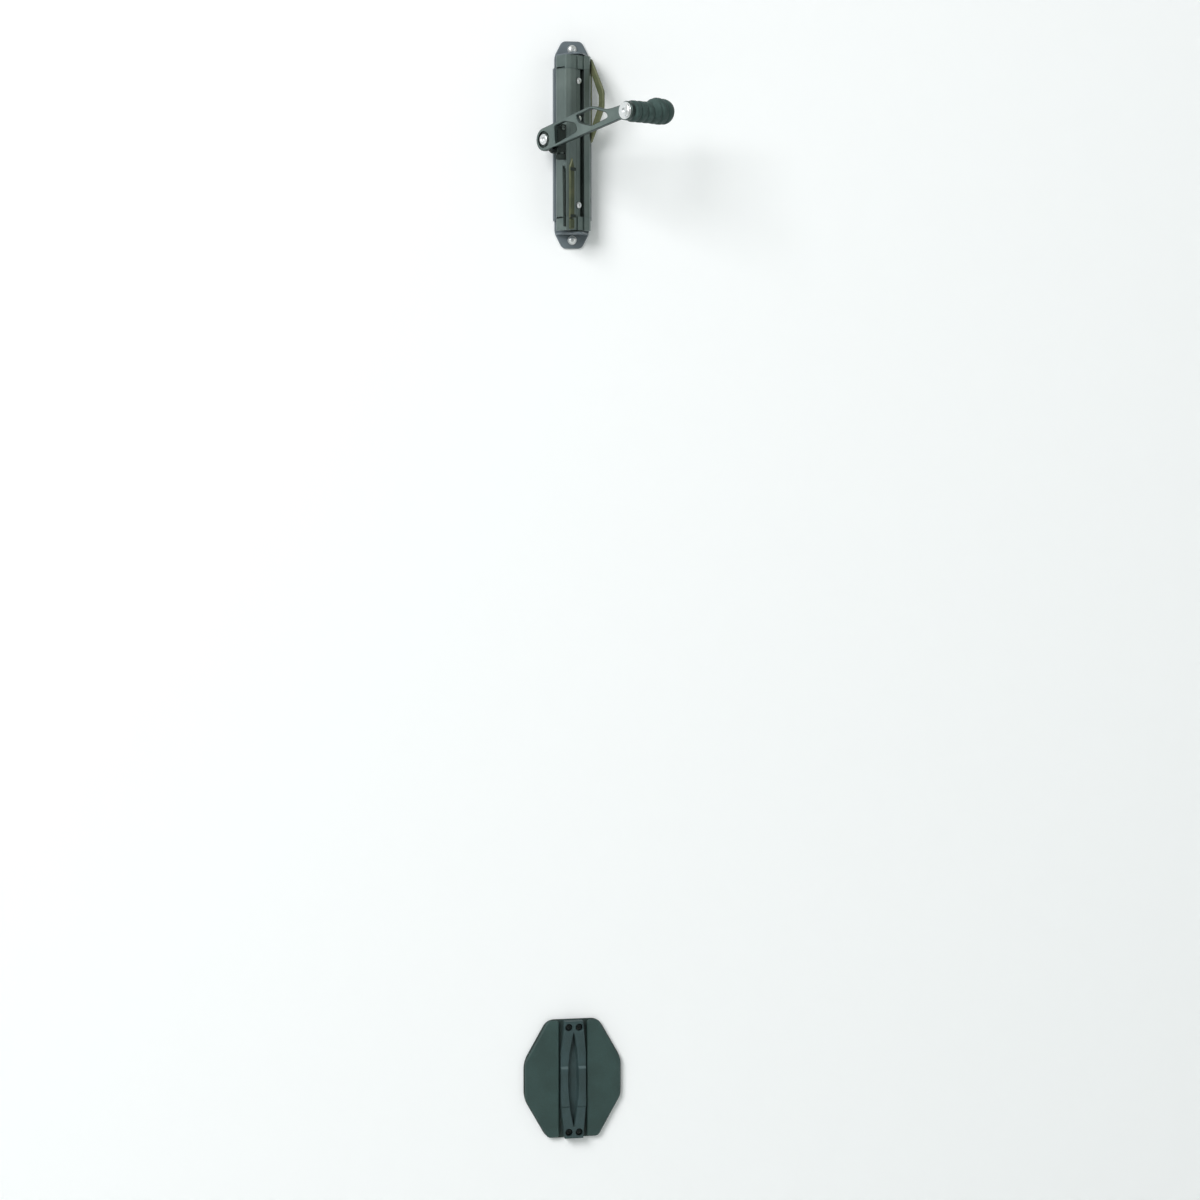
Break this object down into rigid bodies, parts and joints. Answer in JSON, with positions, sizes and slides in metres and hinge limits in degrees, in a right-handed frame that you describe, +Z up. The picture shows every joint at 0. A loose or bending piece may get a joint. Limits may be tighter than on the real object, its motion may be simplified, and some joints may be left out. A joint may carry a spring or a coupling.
{
  "type": "bicycle wall rack",
  "caption": "Vertical bicycle wall rack: a swinging column with a fold-up hook arm and ribbed rubber hook, and a separate octagonal cradle plate below it.",
  "frame": {"origin": "centre of the upper wall plate's back face, on the wall", "axes": "+Y into the wall, +Z up, so the rack stands out from the wall towards -Y; +X is to the right of a person who faces the wall. The column rests swung 31.5 degrees to the right"},
  "size_m": [0.1473, 0.1601, 1.251],
  "materials": {
    "powder_coat": "light grey powder coat",
    "column_finish": "satin grey-green coat on aluminium",
    "passivated": "olive passivated steel",
    "dark": "dark moulded",
    "steel": "zinc plated",
    "bearing": "plain bearing plastic",
    "rubber": "ribbed rubber",
    "panel": "moulded, fine grain"
  },
  "bodies": {
    "wall_units": {"wall_plate": "powder_coat", "upper_ear": "powder_coat", "lower_ear": "powder_coat", "upper_pivot_pin": "powder_coat", "lower_pivot_pin": "powder_coat", "thrust_washer": "dark", "wall_washer_upper": "steel", "wall_washer_lower": "steel", "wall_screw_upper": "steel", "wall_screw_lower": "steel", "lower_backplate": "panel", "wing_left": "panel", "wing_right": "panel", "tyre_cradle": "panel", "cradle_screw_1": "dark", "cradle_screw_2": "dark", "cradle_screw_3": "dark", "cradle_screw_4": "dark"},
    "column": {"swivel_column": "column_finish", "upper_cap": "column_finish", "lower_cap": "column_finish", "upper_bush": "bearing", "lower_bush": "bearing", "centre_strip": "column_finish", "strip_screw_1": "steel", "strip_screw_2": "steel", "strip_screw_3": "steel", "guard_plate": "passivated", "guard_screw_upper": "steel", "guard_screw_lower": "steel", "rest_bar": "passivated", "collar_upper": "dark", "collar_lower": "dark", "bar_foot": "passivated", "side_bracket": "dark", "arm_carrier": "dark", "carrier_screw": "steel", "carrier_bolt_upper": "steel", "carrier_bolt_lower": "steel", "arm_stop_pin": "dark", "pivot_bolt": "steel", "pivot_ring": "dark", "plunger_barrel": "steel", "plunger_spring": "steel"},
    "plunger": {"plunger_pin": "steel", "plunger_knob": "dark"},
    "arm": {"hook_arm": "column_finish", "arm_bush": "bearing", "hook_core": "steel", "hook_sleeve": "rubber", "hook_washer": "steel", "hook_screw": "steel"}
  },
  "joints": [
    {"name": "column_swing", "type": "hinge", "parent": "wall_units", "child": "column", "pos_m": [0, -0.029, 0], "axis": [0, 0, 1], "range_deg": [-31.5, 48.5]},
    {"name": "arm_fold", "type": "hinge", "parent": "column", "child": "arm", "pos_m": [-0.03659, -0.03676, 0.0028], "axis": [-0.8526, -0.5225, 0], "range_deg": [0, 75]},
    {"name": "plunger_pull", "type": "slide", "parent": "column", "child": "plunger", "axis": [0, 0, -1], "range_m": [0, 0.004], "stiffness_N_per_m": 300, "springref_m": -0.004, "deforming": ["plunger_spring"]}
  ]
}
